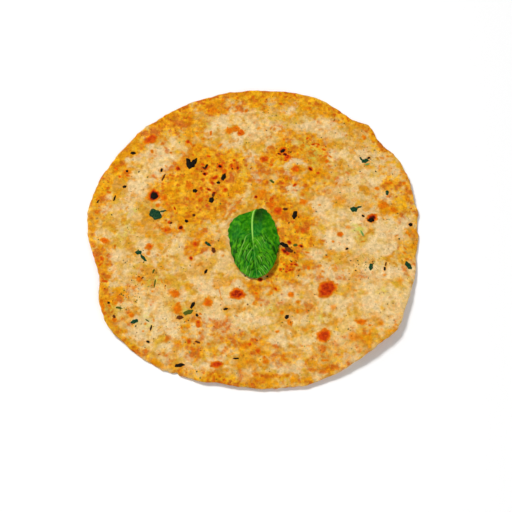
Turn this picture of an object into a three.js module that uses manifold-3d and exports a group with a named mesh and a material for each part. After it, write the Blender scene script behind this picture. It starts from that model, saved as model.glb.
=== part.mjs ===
// A paratha: a thin pan-fried wheat flatbread with chopped herbs in its dough, and one mint leaf on top.
// Units are millimetres. +Z is up, and the bread lies on z = 0 with the middle of its outline at the origin.
// Bearings are in degrees, counted anticlockwise from +X, seen from above.

import * as THREE from "three";
import { mergeVertices } from "three/addons/utils/BufferGeometryUtils.js";
import Module from "manifold-3d";

// Bread
const BREAD_RADIUS = 105.4;
const BREAD_THICKNESS = 2.9;
const EDGE_THICKNESS = 2.1;
const EDGE_TAPER = 16; // how far in from the edge the bread starts to thin out
const EDGE_ROUNDING = 1.5; // how far in from the edge its upper and lower corners round off
const TOP_RINGS = 28;
const UNDERSIDE_RINGS = 11;
const EDGE_STEPS = 4;

// The edge of dough rolled by hand: where it bulges out or is pulled in, by how much,
// and over how many degrees
const EDGE_BULGES = [
  { bearing: 3, by: -1.4, spread: 3 },
  { bearing: 29, by: 2.8, spread: 8 },
  { bearing: 46.5, by: 4.4, spread: 4 },
  { bearing: 67, by: 3.0, spread: 9 },
  { bearing: 108, by: 1.2, spread: 11 },
  { bearing: 166, by: 2.6, spread: 13 },
  { bearing: 195, by: -4.6, spread: 9 },
  { bearing: 218, by: 4.6, spread: 13 },
  { bearing: 236, by: 1.6, spread: 6 },
  { bearing: 263, by: -2.4, spread: 13 },
  { bearing: 298, by: 1.4, spread: 13 },
  { bearing: 321, by: 3.8, spread: 9 },
  { bearing: 351, by: -2.4, spread: 11 },
];
// Small waves along the edge: how many go round, how high they are, and where they start
const EDGE_WAVES = [
  { count: 19, height: 0.28, start: 40 },
  { count: 31, height: 0.22, start: 200 },
];

// Where the edge lifts off what it lies on: how high, over how many degrees,
// and from which share of the radius
const EDGE_LIFTS = [
  { bearing: 314, by: 5.2, spread: 26, from: 0.5 },
  { bearing: 200, by: 3.4, spread: 20, from: 0.56 },
  { bearing: 78, by: 3.0, spread: 24, from: 0.52 },
  { bearing: 255, by: 1.8, spread: 13, from: 0.62 },
  { bearing: 20, by: 2.2, spread: 17, from: 0.6 },
  { bearing: 138, by: 1.6, spread: 16, from: 0.66 },
];
// Long low swells of the whole bread: how high, the length of one wave, its bearing and where it starts
const SWELLS = [
  { height: 0.42, length: 92, bearing: 25, start: 235 },
  { height: 0.34, length: 61, bearing: 118, start: 210 },
  { height: 0.2, length: 38, bearing: 70, start: 200 },
];
const PRESSED_FLAT = 0.2; // how much of the swells lies below z = 0 and is pressed flat
const LIFT_CURVE = 1.8; // 1 lifts the edge as a straight slope, and more bends it up towards the edge
const BLISTER_CURVE = 1.4; // more makes a blister flatter in its middle and steeper at its side

// Blisters that puffed up and scorched on the pan: middle, length, breadth, bearing of the length, and height
const BLISTERS = [
  { x: 44.7, y: -39.9, long: 13, broad: 10.5, turn: 70, height: 0.9 },
  { x: 41.4, y: -70.9, long: 9, broad: 8.5, turn: 0, height: 0.8 },
  { x: -11, y: -43.3, long: 10, broad: 7.5, turn: 0, height: 0.8 },
  { x: -68.6, y: 67.3, long: 10, broad: 6.5, turn: 35, height: 0.8 },
  { x: -13.8, y: 74.7, long: 11, broad: 6, turn: 170, height: 0.7 },
  { x: 26.7, y: 45.6, long: 9, broad: 8.5, turn: 0, height: 0.9 },
  { x: -46.8, y: -52.5, long: 9, broad: 8.5, turn: 40, height: 0.8 },
  { x: -48.7, y: -43.1, long: 8, broad: 6.5, turn: 140, height: 0.7 },
  { x: -28.6, y: -48.9, long: 7.5, broad: 7, turn: 60, height: 0.7 },
  { x: -22.8, y: -89.3, long: 10, broad: 5.5, turn: 0, height: 0.6 },
  { x: 60.1, y: -72.7, long: 9, broad: 8, turn: 20, height: 0.6 },
  { x: 84.5, y: 17.3, long: 12, broad: 7.5, turn: 165, height: 0.8 },
  { x: 54.7, y: 23.5, long: 11, broad: 7, turn: 150, height: 0.6 },
  { x: 61.6, y: -31.6, long: 11, broad: 9, turn: 130, height: 0.6 },
  { x: -54.9, y: 0.9, long: 8, broad: 6.5, turn: 0, height: 0.6 },
  { x: -94.3, y: -6.7, long: 8, broad: 6, turn: 155, height: 0.6 },
  { x: -66, y: -10.9, long: 6.5, broad: 6.5, turn: 0, height: 0.6 },
  { x: -38, y: 31, long: 58, broad: 44, turn: 35, height: 0.5 },
];

// Herb leaves that show in the top, pressed into the dough: middle, length, breadth and bearing of the length
const HERBS = [
  { x: -63.2, y: 12.1, long: 8.8, broad: 7.4, turn: 100 },
  { x: -41.4, y: 50.1, long: 8.4, broad: 5.4, turn: 75 },
  { x: -64.5, y: 25.6, long: 6.4, broad: 4.6, turn: 70 },
  { x: -71.8, y: -15.8, long: 6.6, broad: 3, turn: 130 },
  { x: -73.1, y: -61.4, long: 4.4, broad: 3.2, turn: 25 },
  { x: -42.5, y: -56.8, long: 9.8, broad: 3.4, turn: 32 },
  { x: -38, y: -50.5, long: 6, broad: 2, turn: 65 },
  { x: -44.9, y: -89.2, long: 6.2, broad: 2.8, turn: 0 },
  { x: -28.6, y: -9.4, long: 5, broad: 3, turn: 140 },
  { x: -20.1, y: 39.7, long: 6, broad: 3.2, turn: 85 },
  { x: -27.7, y: 22.8, long: 4.6, broad: 3.6, turn: 20 },
  { x: 25.6, y: 12, long: 6, broad: 4, turn: 70 },
  { x: 20.6, y: -10.6, long: 6.6, broad: 3, turn: 155 },
  { x: 64, y: 16.1, long: 6.4, broad: 4, turn: 20 },
  { x: 72.1, y: 51.8, long: 6, broad: 4.8, turn: 10 },
  { x: 85.2, y: 27.7, long: 4.6, broad: 2.2, turn: 85 },
  { x: 73.9, y: 8, long: 4, broad: 2.6, turn: 160 },
  { x: 95.9, y: -23.6, long: 6.2, broad: 4, turn: 110 },
  { x: 72.5, y: -24.6, long: 4.8, broad: 3.2, turn: 80 },
];
const HERB_SIDES = 8;
const HERB_PROUD = 0.4; // how far a herb stands out of the bread
const HERB_DEPTH = 0.7; // and how far it reaches into it
const HERB_LOBES = 0.22; // how far its outline swells and shrinks, as a share of its size

// Mint leaf: both ends of its midrib, and its margin, from the stalk end down the left side to the tip
// and up the right side again
const LEAF_STALK = [1.2, 15.4];
const LEAF_TIP = [1.6, -33.2];
const LEAF_LEFT_SIDE = [
  [-4.9, 12.6],
  [-10.8, 9.8],
  [-14.8, 5.4],
  [-16.4, -0.6],
  [-15.4, -7.4],
  [-13.8, -17],
  [-9.8, -26.6],
  [-3.6, -32],
];
const LEAF_RIGHT_SIDE = [
  [7.6, -30.4],
  [12.2, -23.6],
  [14.2, -14.8],
  [15.4, -7.6],
  [13.8, -0.4],
  [11.8, 6],
  [8, 12],
  [4.4, 15.2],
];
const LEAF_BEND = -2.9; // how far the midrib bends to the left between the stalk and the tip
const LEAF_HALF_BREADTH = 15.8;
const LEAF_THICKNESS = 0.5;
const LEAF_GAP = 0.3; // between the leaf and the bread, where they come closest
const LEAF_RIB_RISE = 1.5; // how far the midrib arches up
const LEAF_RIB_AT_ENDS = 0.45; // the share of that arch left at the stalk and at the tip
const LEAF_PUFF = 1.9; // how far each half of the leaf puffs up beside the midrib
const LEAF_PUFF_AT_ENDS = 0.35; // the share of that puff left at the stalk and at the tip
const LEAF_TIP_LIFT = 1.5; // how far the right margin and the tip stand clear of the bread
const LEAF_CURL = 2.4; // how far the lobe to the right of the stalk curls up
const LEAF_TEETH = 26; // fine teeth all round the margin
const LEAF_TOOTH = 0.35;
const LEAF_VEINS = 7; // side veins on each half
const LEAF_VEIN_SLANT = 2.2; // how many veins further down the leaf a vein ends than it starts
const LEAF_QUILT = 0.4; // how far the leaf puffs up between its side veins
const LEAF_RINGS = 11;

const BREAD_COLOUR = 0xe3b36b;
const LEAF_COLOUR = 0x2c8a1e;

const radians = (degrees) => (degrees * Math.PI) / 180;
const bell = (x) => Math.exp(-x * x);
const clamp01 = (x) => Math.min(1, Math.max(0, x));
const smooth = (x) => clamp01(x) ** 2 * (3 - 2 * clamp01(x));

// The angle from one bearing to another, from -180 to 180 degrees
function turnBetween(bearing, other) {
  return ((((bearing - other + 180) % 360) + 360) % 360) - 180;
}

// How far out the bread's edge is on a bearing
function edgeRadius(bearing) {
  let radius = BREAD_RADIUS;
  for (const { bearing: at, by, spread } of EDGE_BULGES) {
    radius += by * bell(turnBetween(bearing, at) / spread);
  }
  for (const { count, height, start } of EDGE_WAVES) {
    radius += height * Math.sin(radians(count * bearing + start));
  }
  return radius;
}

function polar(x, y) {
  const bearing = (Math.atan2(y, x) * 180) / Math.PI;
  return { bearing, distance: Math.hypot(x, y), edge: edgeRadius(bearing) };
}

// Height of the bread's underside: flat where it rests, raised where the edge lifts or the bread swells
function undersideHeight(x, y) {
  const { bearing, distance, edge } = polar(x, y);
  let height = -PRESSED_FLAT;
  for (const { by, spread, from, bearing: at } of EDGE_LIFTS) {
    const outward = clamp01((distance / edge - from) / (1 - from));
    height += by * outward ** LIFT_CURVE * bell(turnBetween(bearing, at) / spread);
  }
  for (const { height: rise, length, bearing: across, start } of SWELLS) {
    const along = x * Math.cos(radians(across)) + y * Math.sin(radians(across));
    height += rise * Math.sin((2 * Math.PI * along) / length + radians(start));
  }
  return Math.max(0, height);
}

// Height of an oval mound at a point: 1 in its middle, falling off to nothing round its outline
function moundHeight(mound, x, y) {
  const turn = radians(mound.turn);
  const dx = x - mound.x;
  const dy = y - mound.y;
  const along = (dx * Math.cos(turn) + dy * Math.sin(turn)) / (mound.long / 2);
  const across = (dy * Math.cos(turn) - dx * Math.sin(turn)) / (mound.broad / 2);
  return bell(Math.hypot(along, across) ** BLISTER_CURVE);
}

// Thickness of the bread: thinner towards the edge, thicker where a blister puffed up
function breadThickness(x, y) {
  const { distance, edge } = polar(x, y);
  const inward = smooth((edge - distance) / EDGE_TAPER);
  let thickness = THREE.MathUtils.lerp(EDGE_THICKNESS, BREAD_THICKNESS, inward);
  for (const blister of BLISTERS) {
    thickness += blister.height * moundHeight(blister, x, y);
  }
  return thickness;
}

function breadTop(x, y) {
  return undersideHeight(x, y) + breadThickness(x, y);
}

// A closed mesh under construction: vertices, and triangles that name them
class Shell {
  constructor() {
    this.positions = [];
    this.indices = [];
  }

  vertex(x, y, z) {
    this.positions.push(x, y, z);
    return this.positions.length / 3 - 1;
  }

  triangle(a, b, c) {
    this.indices.push(a, b, c);
  }

  // Joins two rings of vertices that run anticlockwise and may differ in number. The triangles between them
  // face up where the second ring lies outside the first, and down where it lies inside.
  zip(first, second) {
    let i = 0;
    let j = 0;
    while (i < first.length || j < second.length) {
      const a = first[i % first.length];
      const b = second[j % second.length];
      const firstIsBehind = (i + 0.5) * second.length < (j + 0.5) * first.length;
      if (firstIsBehind && i < first.length) {
        i += 1;
        this.triangle(a, b, first[i % first.length]);
      } else {
        j += 1;
        this.triangle(a, b, second[j % second.length]);
      }
    }
  }

  geometry() {
    const made = new THREE.BufferGeometry();
    made.setAttribute("position", new THREE.Float32BufferAttribute(this.positions, 3));
    made.setIndex(this.indices);
    return made;
  }
}

// A ring of vertices on a surface: the outline, drawn in to a share of its distance from the middle
function ringOn(shell, outline, middle, share, count, heightAt) {
  return Array.from({ length: count }, (_, k) => {
    const point = outline(k / count);
    const x = THREE.MathUtils.lerp(middle.x, point.x, share);
    const y = THREE.MathUtils.lerp(middle.y, point.y, share);
    return shell.vertex(x, y, heightAt(x, y));
  });
}

// The upper face of a sheet, from its middle out to its outline. Ring by ring it has six more vertices.
function upperFace(shell, outline, middle, rings, heightAt) {
  let last = [shell.vertex(middle.x, middle.y, heightAt(middle.x, middle.y))];
  for (let ring = 1; ring <= rings; ring += 1) {
    const next = ringOn(shell, outline, middle, ring / rings, 6 * ring, heightAt);
    shell.zip(last, next);
    last = next;
  }
  return last;
}

// The lower face of a sheet, from a ring of vertices at its outline in to its middle
function lowerFace(shell, outline, middle, rings, heightAt, rim) {
  let last = rim;
  for (let ring = rings - 1; ring >= 1; ring -= 1) {
    const count = Math.round((rim.length * ring) / rings);
    const next = ringOn(shell, outline, middle, ring / rings, count, heightAt);
    shell.zip(last, next);
    last = next;
  }
  shell.zip(last, [shell.vertex(middle.x, middle.y, heightAt(middle.x, middle.y))]);
}

// The bread's outline where its corners start to round off, with share running from 0 to 1 once round it
function breadOutline(share) {
  const bearing = 360 * share;
  const distance = edgeRadius(bearing) - EDGE_ROUNDING;
  return new THREE.Vector2(distance * Math.cos(radians(bearing)), distance * Math.sin(radians(bearing)));
}

// A ring on the rounded edge, where tilt runs from 90 degrees at the top to -90 at the underside
function edgeRing(shell, tilt, count) {
  return Array.from({ length: count }, (_, k) => {
    const { x, y } = breadOutline(k / count);
    const out = 1 + (EDGE_ROUNDING / Math.hypot(x, y)) * Math.cos(radians(tilt));
    const half = breadThickness(x, y) / 2;
    const z = undersideHeight(x, y) + half + half * Math.sin(radians(tilt));
    return shell.vertex(x * out, y * out, z);
  });
}

// The bread without its herbs: a fine upper face, a rounded edge, and a coarser lower face
function breadShell() {
  const shell = new Shell();
  const middle = new THREE.Vector2(0, 0);
  let last = upperFace(shell, breadOutline, middle, TOP_RINGS, breadTop);
  for (let step = 1; step <= EDGE_STEPS; step += 1) {
    const next = edgeRing(shell, 90 - (180 * step) / EDGE_STEPS, last.length);
    shell.zip(last, next);
    last = next;
  }
  lowerFace(shell, breadOutline, middle, UNDERSIDE_RINGS, undersideHeight, last);
  return shell;
}

// One scrap of herb leaf: a thin oval plate with an uneven outline that follows the bread's top
function herbShell(herb, seed) {
  const shell = new Shell();
  const turn = radians(herb.turn);
  const rings = [HERB_PROUD, -HERB_DEPTH].map((rise) =>
    Array.from({ length: HERB_SIDES }, (_, k) => {
      const angle = (2 * Math.PI * k) / HERB_SIDES;
      const uneven = 1 + HERB_LOBES * (Math.sin(2 * angle + seed) + 0.5 * Math.sin(5 * angle + 3 * seed));
      const along = (herb.long / 2) * uneven * Math.cos(angle);
      const across = (herb.broad / 2) * uneven * Math.sin(angle);
      const x = herb.x + along * Math.cos(turn) - across * Math.sin(turn);
      const y = herb.y + along * Math.sin(turn) + across * Math.cos(turn);
      return shell.vertex(x, y, breadTop(x, y) + rise);
    }),
  );
  const surface = breadTop(herb.x, herb.y);
  shell.zip([shell.vertex(herb.x, herb.y, surface + HERB_PROUD)], rings[0]);
  shell.zip(rings[0], rings[1]);
  shell.zip(rings[1], [shell.vertex(herb.x, herb.y, surface - HERB_DEPTH)]);
  return shell;
}

const leafStalk = new THREE.Vector2(...LEAF_STALK);
const leafTip = new THREE.Vector2(...LEAF_TIP);
const leafMiddle = leafStalk.clone().lerp(leafTip, 0.5);
const leafMargin = new THREE.CatmullRomCurve3(
  [LEAF_STALK, ...LEAF_LEFT_SIDE, LEAF_TIP, ...LEAF_RIGHT_SIDE].map(([x, y]) => new THREE.Vector3(x, y, 0)),
  true,
  "centripetal",
);

// The leaf's outline, with fine teeth, with share running from 0 to 1 once round it
function leafOutline(share) {
  const { x, y } = leafMargin.getPointAt(share);
  const point = new THREE.Vector2(x, y);
  const tooth = LEAF_TOOTH * Math.abs(Math.sin(Math.PI * LEAF_TEETH * share));
  const outward = point.clone().sub(leafMiddle).setLength(tooth);
  return point.add(outward);
}

// Where a point lies on the leaf: along runs from 0 at the stalk end to 1 at the tip,
// and across from about -1 at the left margin over 0 at the midrib to 1 at the right margin
function placeOnLeaf(x, y) {
  const along = (leafStalk.y - y) / (leafStalk.y - leafTip.y);
  const bend = LEAF_BEND * Math.sin(Math.PI * Math.sqrt(clamp01(along)));
  const rib = THREE.MathUtils.lerp(leafStalk.x, leafTip.x, along) + bend;
  return { along, across: (x - rib) / LEAF_HALF_BREADTH };
}

// How far the leaf's lower face stands above the bread
function leafLift(x, y) {
  const { along, across } = placeOnLeaf(x, y);
  const outward = clamp01(Math.abs(across));
  const lengthwise = Math.sin(Math.PI * clamp01(along));
  const ribShare = THREE.MathUtils.lerp(LEAF_RIB_AT_ENDS, 1, lengthwise);
  const rib = LEAF_RIB_RISE * ribShare * (1 - outward ** 2);
  const puffShare = THREE.MathUtils.lerp(LEAF_PUFF_AT_ENDS, 1, lengthwise);
  const puff = LEAF_PUFF * puffShare * Math.sin(Math.PI * outward);
  const tip = LEAF_TIP_LIFT * smooth((along - 0.25) / 0.6) * smooth(0.4 + across);
  const curl = LEAF_CURL * bell((along - 0.1) / 0.2) * smooth(across / 0.4);
  const vein = Math.PI * (LEAF_VEINS * along - LEAF_VEIN_SLANT * outward);
  const quilt = LEAF_QUILT * Math.abs(Math.sin(vein)) * smooth(6 * outward) * (1 - outward ** 4);
  return LEAF_GAP + rib + puff + tip + curl + quilt;
}

// The leaf: a thin wavy sheet with both faces split alike
function leafShell() {
  const under = (x, y) => breadTop(x, y) + leafLift(x, y);
  const top = (x, y) => under(x, y) + LEAF_THICKNESS;
  const shell = new Shell();
  const upperRim = upperFace(shell, leafOutline, leafMiddle, LEAF_RINGS, top);
  const lowerRim = ringOn(shell, leafOutline, leafMiddle, 1, upperRim.length, under);
  shell.zip(upperRim, lowerRim);
  lowerFace(shell, leafOutline, leafMiddle, LEAF_RINGS, under, lowerRim);
  return shell;
}

const manifold = await Module();
manifold.setup();

function solidOf(shell) {
  const merged = mergeVertices(shell.geometry());
  return new manifold.Manifold(
    new manifold.Mesh({
      numProp: 3,
      vertProperties: merged.attributes.position.array,
      triVerts: new Uint32Array(merged.index.array),
    }),
  );
}

function geometryOf(solid) {
  const { vertProperties, triVerts } = solid.getMesh();
  const made = new THREE.BufferGeometry();
  made.setAttribute("position", new THREE.BufferAttribute(vertProperties, 3));
  made.setIndex(new THREE.BufferAttribute(triVerts, 1));
  made.computeVertexNormals();
  return made;
}

// The bread with its herbs fused into its top
function breadMesh() {
  let solid = solidOf(breadShell());
  HERBS.forEach((herb, k) => {
    solid = solid.add(solidOf(herbShell(herb, k)));
  });
  const mesh = new THREE.Mesh(
    geometryOf(solid),
    new THREE.MeshStandardMaterial({ color: BREAD_COLOUR, roughness: 0.62, metalness: 0 }),
  );
  mesh.name = "bread";
  return mesh;
}

// The mint leaf, a node of its own
function leafMesh() {
  const mesh = new THREE.Mesh(
    geometryOf(solidOf(leafShell())),
    new THREE.MeshStandardMaterial({ color: LEAF_COLOUR, roughness: 0.45, metalness: 0 }),
  );
  mesh.name = "mint_leaf";
  return mesh;
}

const paratha = new THREE.Group();
paratha.add(breadMesh(), leafMesh());

// The outline is uneven, so the middle of its box is brought to the origin
const middle = new THREE.Box3().setFromObject(paratha).getCenter(new THREE.Vector3());
paratha.position.set(-middle.x, -middle.y, 0);

export default paratha;
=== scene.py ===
"""A pan-fried paratha with a mint leaf lying on it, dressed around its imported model.

Lengths are millimetres until a mesh is made from them. +X is right and -Y is near, as the camera sees
the bread. Bearings are degrees, anticlockwise from +X, seen from above.
"""

import math
from functools import lru_cache, partialmethod

import bpy
import numpy as np
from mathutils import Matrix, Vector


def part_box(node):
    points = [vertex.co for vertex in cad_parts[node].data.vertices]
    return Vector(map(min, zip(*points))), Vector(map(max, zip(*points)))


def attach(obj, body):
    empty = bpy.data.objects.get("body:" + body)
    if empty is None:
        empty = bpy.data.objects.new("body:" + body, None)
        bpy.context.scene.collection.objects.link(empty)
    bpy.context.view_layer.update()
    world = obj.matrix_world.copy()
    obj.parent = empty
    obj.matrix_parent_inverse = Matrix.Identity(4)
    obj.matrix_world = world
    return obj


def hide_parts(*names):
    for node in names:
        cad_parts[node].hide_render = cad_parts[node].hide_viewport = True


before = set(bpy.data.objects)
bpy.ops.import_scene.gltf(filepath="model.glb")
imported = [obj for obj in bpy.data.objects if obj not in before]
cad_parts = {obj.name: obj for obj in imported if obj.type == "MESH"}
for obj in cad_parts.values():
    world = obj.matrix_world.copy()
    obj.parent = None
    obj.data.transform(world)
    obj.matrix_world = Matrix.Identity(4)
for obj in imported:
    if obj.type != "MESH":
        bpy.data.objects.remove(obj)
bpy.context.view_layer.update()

MM = 0.001

# Bread. It thins towards the edge over the taper, and its edge is rounded
BREAD_RADIUS = 105.4
BREAD_THICKNESS = 2.9
EDGE_THICKNESS = 2.1
EDGE_TAPER = 16
EDGE_ROUNDING = 1.5
# Rings of points, and how many more points each ring of the top has than the ring inside it
TOP_RINGS = 150
RING_GROWTH = 6
EDGE_POINTS = RING_GROWTH * TOP_RINGS
UNDERSIDE_RINGS = 44
EDGE_STEPS = 7

# Bulges and dents of the edge: bearing, how far out, and over how many degrees
EDGE_BULGES = [
    (3, -1.4, 3),
    (29, 2.8, 8),
    (46.5, 4.4, 4),
    (67, 3, 9),
    (108, 1.2, 11),
    (166, 2.6, 13),
    (195, -4.6, 9),
    (218, 4.6, 13),
    (236, 1.6, 6),
    (263, -2.4, 13),
    (298, 1.4, 13),
    (321, 3.8, 9),
    (351, -2.4, 11),
]
# Small waves along the edge: how many go round, how high they are, and where they start
EDGE_WAVES = [(19, 0.28, 40), (31, 0.22, 200)]
# Nicks and cracks in the edge, in the same form as the bulges
EDGE_NICKS = [
    (243.5, -1.3, 0.7),
    (239, 0.5, 1.2),
    (11, -0.7, 0.8),
    (7, 0.6, 1),
    (0.5, -0.6, 0.7),
    (132, 0.5, 1.5),
]
# Crumbling of the edge: how deep, how long a crumb is, and over what length it fades at bearing 0
EDGE_CRUMBLE = 0.28
EDGE_CRUMB_LENGTH = 2.6
EDGE_CRUMBLE_FADE = 6

# Where the edge lifts off: bearing, how high, over how many degrees, and from which share of the radius
EDGE_LIFTS = [
    (314, 5.2, 26, 0.5),
    (200, 3.4, 20, 0.56),
    (78, 3, 24, 0.52),
    (255, 1.8, 13, 0.62),
    (20, 2.2, 17, 0.6),
    (138, 1.6, 16, 0.66),
]
# How gently a lift begins: 1 is a straight slope, and more begins flatter
LIFT_CURVE = 1.8
# Long low swells: how high, the length of one wave, its bearing and where it starts
SWELLS = [(0.42, 92, 25, 235), (0.34, 61, 118, 210), (0.2, 38, 70, 200)]
# How far the swells are sunk, so that the middle rests flat
PRESSED_FLAT = 0.2

# Lumps of the dough's skin: how high, and how far apart
DOUGH_LUMPS = [(0.16, 11), (0.1, 5), (0.07, 2.4)]

# Scorched blisters: middle x and y, width, depth, bearing of the width, and how dark they are
SCORCHES = [
    (44.7, -39.9, 11.5, 10, 62, 0.93),
    (41.4, -70.9, 8.6, 7.8, 20, 0.86),
    (-11, -43.3, 8.8, 6.5, 0, 1),
    (-68.6, 67.3, 9.5, 6, 35, 0.8),
    (-16.8, 74.4, 6.5, 4.6, 20, 0.58),
    (-12.4, 76.2, 6.4, 4.6, 0, 0.64),
    (-9, 72.8, 4.6, 5.4, 120, 0.8),
    (26.7, 45.6, 5.4, 5, 0, 0.78),
    (6.3, 52.9, 5, 5.6, 120, 0.88),
    (-14.2, 47, 6.5, 6, 0, 0.62),
    (20.5, 38.7, 3.2, 5.2, 0, 0.6),
    (4.8, 27.2, 7.7, 6.6, 0, 0.46),
    (10.7, 18.9, 6.4, 5.8, 0, 0.66),
    (15.1, 14.6, 5.7, 6.5, 30, 0.84),
    (31.2, 21.1, 5.8, 4.4, 0, 0.6),
    (54.7, 23.5, 9.6, 6.4, 150, 0.34),
    (82.6, 18.4, 6.8, 5.6, 0, 0.56),
    (88.6, 15.4, 4.8, 5.4, 30, 0.58),
    (98, 23.3, 5, 8, 20, 0.4),
    (54.1, -2.1, 3.6, 3.4, 0, 0.8),
    (59.3, 2.9, 4.4, 3.5, 0, 0.42),
    (72.2, 69.6, 3.4, 3.6, 0, 0.6),
    (-27.6, 90.6, 8, 6, 0, 0.5),
    (-83.2, 43.2, 5, 5.6, 120, 0.56),
    (-58.1, 24.2, 4.6, 4.8, 0, 0.66),
    (-54.9, 0.9, 7, 4.8, 0, 0.64),
    (-42.1, 33.5, 5.2, 5.6, 40, 0.62),
    (-27.7, 37.6, 4.5, 4.4, 0, 0.52),
    (-34.8, 22.6, 3.6, 3.2, 0, 0.8),
    (-37.3, -8.8, 4.4, 4.2, 0, 0.84),
    (-66, -10.9, 4.6, 5, 0, 0.72),
    (-94.5, -6.7, 6, 4, 150, 0.7),
    (-48.7, -43.1, 7.2, 5.6, 140, 0.64),
    (-47, -53, 6.4, 7, 0, 0.6),
    (-28.6, -48.9, 5.5, 5.6, 60, 0.72),
    (-34.3, -61.9, 3.4, 3.4, 0, 0.8),
    (-71.6, -32.9, 4.3, 5, 0, 0.6),
    (-93.5, -52, 3.6, 13, 10, 0.6),
    (-22.8, -89.3, 7.6, 3.8, 0, 0.9),
    (22.4, -43.3, 4.3, 4.2, 0, 0.62),
    (48.4, -52.1, 5, 5.2, 0, 0.4),
    (21.2, -61.9, 4.8, 4, 120, 0.56),
    (64.8, -62.5, 8, 4, 170, 0.64),
    (76.2, -63.6, 5.5, 5.5, 0, 0.42),
    (60.1, -72.7, 8.4, 7.6, 0, 0.42),
    (90.2, -34.3, 5.4, 4, 0, 0.36),
    (61.6, -31.6, 8, 7, 0, 0.28),
    (2, -80.6, 3.4, 3.6, 0, 0.88),
    (-5.5, -76.7, 5.4, 5.1, 0, 0.5),
    (6.5, -87.5, 4.2, 3.8, 0, 0.56),
    (42.4, -86.8, 6.6, 1.9, 0, 0.5),
    (-34.6, -23, 6.4, 3.8, 20, 0.36),
    (-46.6, -76.7, 6, 5.6, 0, 0.42),
]
# How high a dark blister puffs up, the width from which it does so in full, how much wider the puff is than
# the mark, and how flat its top is
SCORCH_PUFF = 0.75
FULL_PUFF_WIDTH = 8
PUFF_SPREAD = 1.25
PUFF_CURVE = 1.4
# Round each blister the dough is a little scorched and much paler: how much, and how far out
SCORCH_HALO = 0.12
PALE_HALO = 0.9
HALO_REACH = 1.6
# A blister at least this dark has a crisp outline, and a paler one fades into the dough
CRISP_SCORCH = 0.76
# Thin cracks beside blisters, in the same form as the blisters
CREASES = [
    (-57.4, -34.4, 6.4, 0.9, 118, 0.5),
    (-55.4, -38.4, 4.2, 0.9, 100, 0.5),
    (-21.4, -42, 6.6, 0.8, 108, 0.5),
    (-20.2, -46.6, 4.6, 0.8, 125, 0.45),
    (50.4, -22.4, 5.6, 0.9, 30, 0.45),
    (46.6, -25.2, 4.4, 0.9, 60, 0.4),
]
# Dark specks where the fat burnt, flush with the top, in the same form as the blisters
BURNT_SPECKS = [
    (-32.2, 45.8, 3.4, 2.4, 0, 1.05),
    (-34, 49, 3, 2.4, 150, 0.85),
    (-30.1, 55.2, 3, 2, 150, 0.95),
    (-15.1, 47.8, 2.4, 4, 0, 0.85),
    (-11, 46.2, 2.6, 3, 0, 1.1),
    (-13.4, 52, 2.2, 2.4, 0, 0.85),
    (-25.6, 39.1, 5.4, 2.6, 40, 0.95),
    (-27.7, 35.4, 3, 2, 140, 0.9),
    (19.2, -13.5, 6, 3.4, 150, 1.15),
    (20.7, -15.7, 2.4, 2.2, 0, 1.05),
    (16.1, -26.4, 2, 2.2, 0, 1),
    (20.4, -24.1, 2, 2, 0, 0.95),
    (22.9, -22.9, 2.2, 1.8, 0, 1.05),
    (25.8, -23, 1.9, 1.9, 0, 1.2),
    (22.1, -26.7, 3, 2, 20, 1.05),
    (19.7, -27.8, 2, 2, 0, 0.95),
    (18.5, -22.8, 1.9, 1.8, 0, 0.85),
    (29.5, -10.2, 2.4, 2, 0, 1.2),
    (3.5, -33.3, 3.6, 2.6, 10, 1.25),
    (-22.6, 47.6, 5, 4, 150, 1),
    (-19.8, 43.8, 4, 3.4, 60, 0.85),
    (-64.8, 25.9, 8.2, 6.8, 70, 1.25),
    (74.5, 9.5, 6.5, 4.6, 40, 1.2),
    (21.8, -7.4, 3.2, 2.6, 120, 1.1),
    (21.6, 54.2, 4.4, 3.2, 20, 1),
    (18.4, 59.5, 5.6, 4.4, 20, 0.9),
]
# Pale raised ring round one blister: x, y, radius, width, and the bearing where it is palest
PALE_RING = (26.7, 45.6, 6.2, 2.7, 150)
PALE_RING_RISE = 0.25
# Small scorched spots: how many, how far out, their sizes, and how dark outside and inside fried patches
SMALL_SCORCHES = 260
SMALL_SCORCH_REACH = 101
SMALL_SCORCH_SIZES = (1, 3.6)
LONE_SPOT_STRENGTHS = (0.1, 0.62)
FRIED_SPOT_STRENGTHS = (0.5, 1.55)
# The same for the spots of the underside
UNDERSIDE_SPOTS = 60
UNDERSIDE_SPOT_REACH = 98
UNDERSIDE_SPOT_SIZES = (3, 10)
UNDERSIDE_SPOT_STRENGTHS = (0.35, 0.9)

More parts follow.
